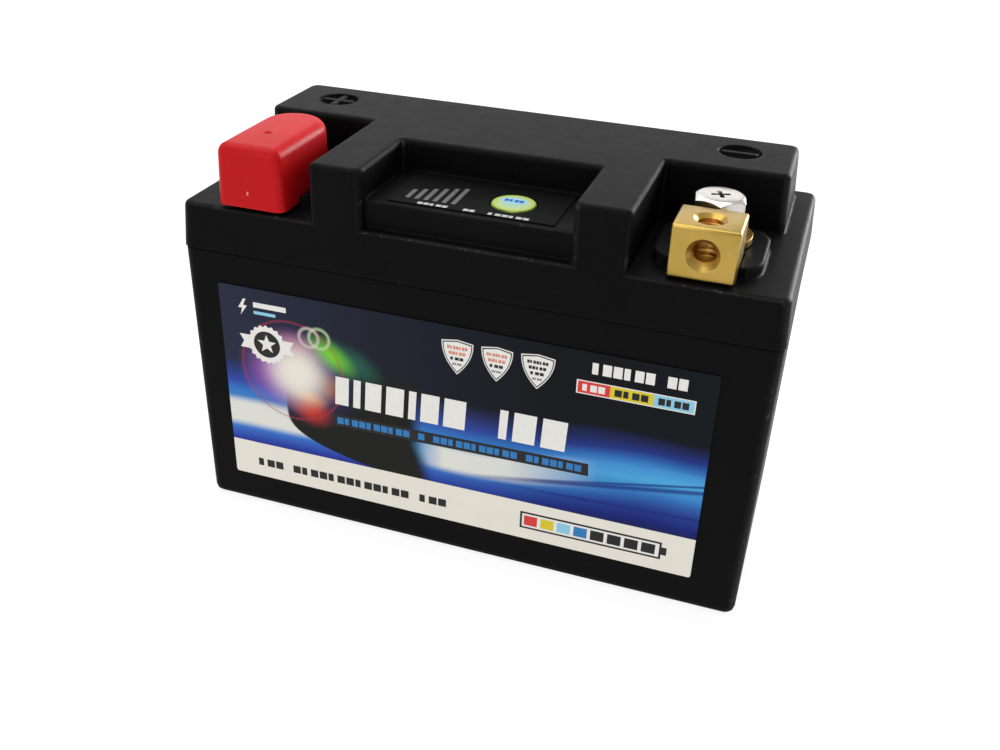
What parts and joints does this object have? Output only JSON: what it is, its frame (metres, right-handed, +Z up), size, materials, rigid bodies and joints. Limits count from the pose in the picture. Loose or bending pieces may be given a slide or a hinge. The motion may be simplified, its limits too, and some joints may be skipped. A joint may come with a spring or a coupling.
{
  "type": "motorcycle battery",
  "caption": "Lithium motorcycle battery: black case with lid, brass terminal blocks with bolts, red terminal cap, charge display with test button, and cells and boards inside.",
  "frame": {"origin": "centre of the flat base, on the surface the battery stands on", "axes": "+X along the long side towards the negative terminal, +Y from the label side to the back, +Z up"},
  "size_m": [0.134, 0.065, 0.0935],
  "materials": {
    "case_black": "satin black moulded plastic with a fine grain",
    "cap_red": "soft red plastic, half matt",
    "brass": "machined brass, bright",
    "zinc_plate": "bright nickel or zinc plated steel",
    "copper": "bare copper sheet",
    "cell_aluminium": "aluminium laminate foil of a flat cell",
    "tab_nickel": "nickel-plated tab",
    "label_print": "printed plastic film, half gloss",
    "rear_print": "printed plastic film, half gloss",
    "overlay_black": "printed membrane film, satin",
    "button_green": "printed membrane button, satin",
    "foam_grey": "closed-cell foam",
    "board_green": "glass-fibre circuit board with solder mask",
    "chip_black": "moulded component body",
    "connector_white": "moulded nylon",
    "led_lens": "clear component lens",
    "cable_grey": "flat cable insulation",
    "bead_black": "welded plastic"
  },
  "bodies": {
    "case": {"balance_connector": "connector_white", "base_pad": "foam_grey", "cell_1": "cell_aluminium", "cell_1_negative_tab": "tab_nickel", "cell_1_positive_tab": "tab_nickel", "cell_2": "cell_aluminium", "cell_2_negative_tab": "tab_nickel", "cell_2_positive_tab": "tab_nickel", "cell_3": "cell_aluminium", "cell_3_negative_tab": "tab_nickel", "cell_3_positive_tab": "tab_nickel", "cell_4": "cell_aluminium", "cell_4_negative_tab": "tab_nickel", "cell_4_positive_tab": "tab_nickel", "cell_pad_1": "foam_grey", "cell_pad_2": "foam_grey", "cell_pad_3": "foam_grey", "charge_controller": "chip_black", "charge_led_1": "led_lens", "charge_led_2": "led_lens", "charge_led_3": "led_lens", "charge_led_4": "led_lens", "charge_led_5": "led_lens", "charge_led_6": "led_lens", "container": "case_black", "display_board": "board_green", "display_cable": "cable_grey", "display_overlay": "overlay_black", "front_label": "label_print", "front_pad": "foam_grey", "lid": "case_black", "lid_weld_bead": "bead_black", "management_board": "board_green", "mosfet_1": "chip_black", "mosfet_2": "chip_black", "mosfet_3": "chip_black", "mosfet_4": "chip_black", "negative_strap": "copper", "negative_terminal_block": "brass", "negative_terminal_insert": "brass", "pack_negative_strap": "copper", "positive_strap": "copper", "positive_terminal_block": "brass", "positive_terminal_insert": "brass", "rear_label": "rear_print", "rear_pad": "foam_grey", "series_link_1": "copper", "series_link_2": "copper", "series_link_3": "copper", "tab_board": "board_green", "tact_switch_body": "chip_black"},
    "terminal_cap": {"positive_terminal_cap": "cap_red"},
    "test_button": {"test_button": "button_green", "tact_switch_plunger": "connector_white"},
    "negative_washers": {"negative_plain_washer": "zinc_plate", "negative_spring_washer": "zinc_plate"},
    "negative_bolt": {"negative_terminal_bolt": "zinc_plate"},
    "positive_washers": {"positive_plain_washer": "zinc_plate", "positive_spring_washer": "zinc_plate"},
    "positive_bolt": {"positive_terminal_bolt": "zinc_plate"}
  },
  "joints": [
    {"name": "cap_lift", "type": "slide", "parent": "case", "child": "terminal_cap", "axis": [0, 0, 1], "range_m": [0, 0.018]},
    {"name": "button_press", "type": "slide", "parent": "case", "child": "test_button", "axis": [0, 0, 1], "range_m": [-0.0005, 0], "stiffness_N_per_m": 400},
    {"name": "negative_washers_rise", "type": "slide", "parent": "case", "child": "negative_washers", "axis": [0, 0, 1], "range_m": [0, 0.0135]},
    {"name": "negative_bolt_turn", "type": "hinge", "parent": "negative_washers", "child": "negative_bolt", "pos_m": [0.0485, -0.0123, 0.0877], "axis": [0, 0, 1], "range_deg": [0, 4861]},
    {"name": "positive_washers_rise", "type": "slide", "parent": "case", "child": "positive_washers", "axis": [0, 0, 1], "range_m": [0, 0.001]},
    {"name": "positive_bolt_turn", "type": "hinge", "parent": "positive_washers", "child": "positive_bolt", "pos_m": [-0.049, -0.0123, 0.0877], "axis": [0, 0, 1], "range_deg": [0, 361]}
  ],
  "couplings": [
    {"joint": "negative_bolt_turn", "follows": "negative_washers_rise", "rad_per_m": 6283.2},
    {"joint": "positive_bolt_turn", "follows": "positive_washers_rise", "rad_per_m": 6283.2}
  ]
}
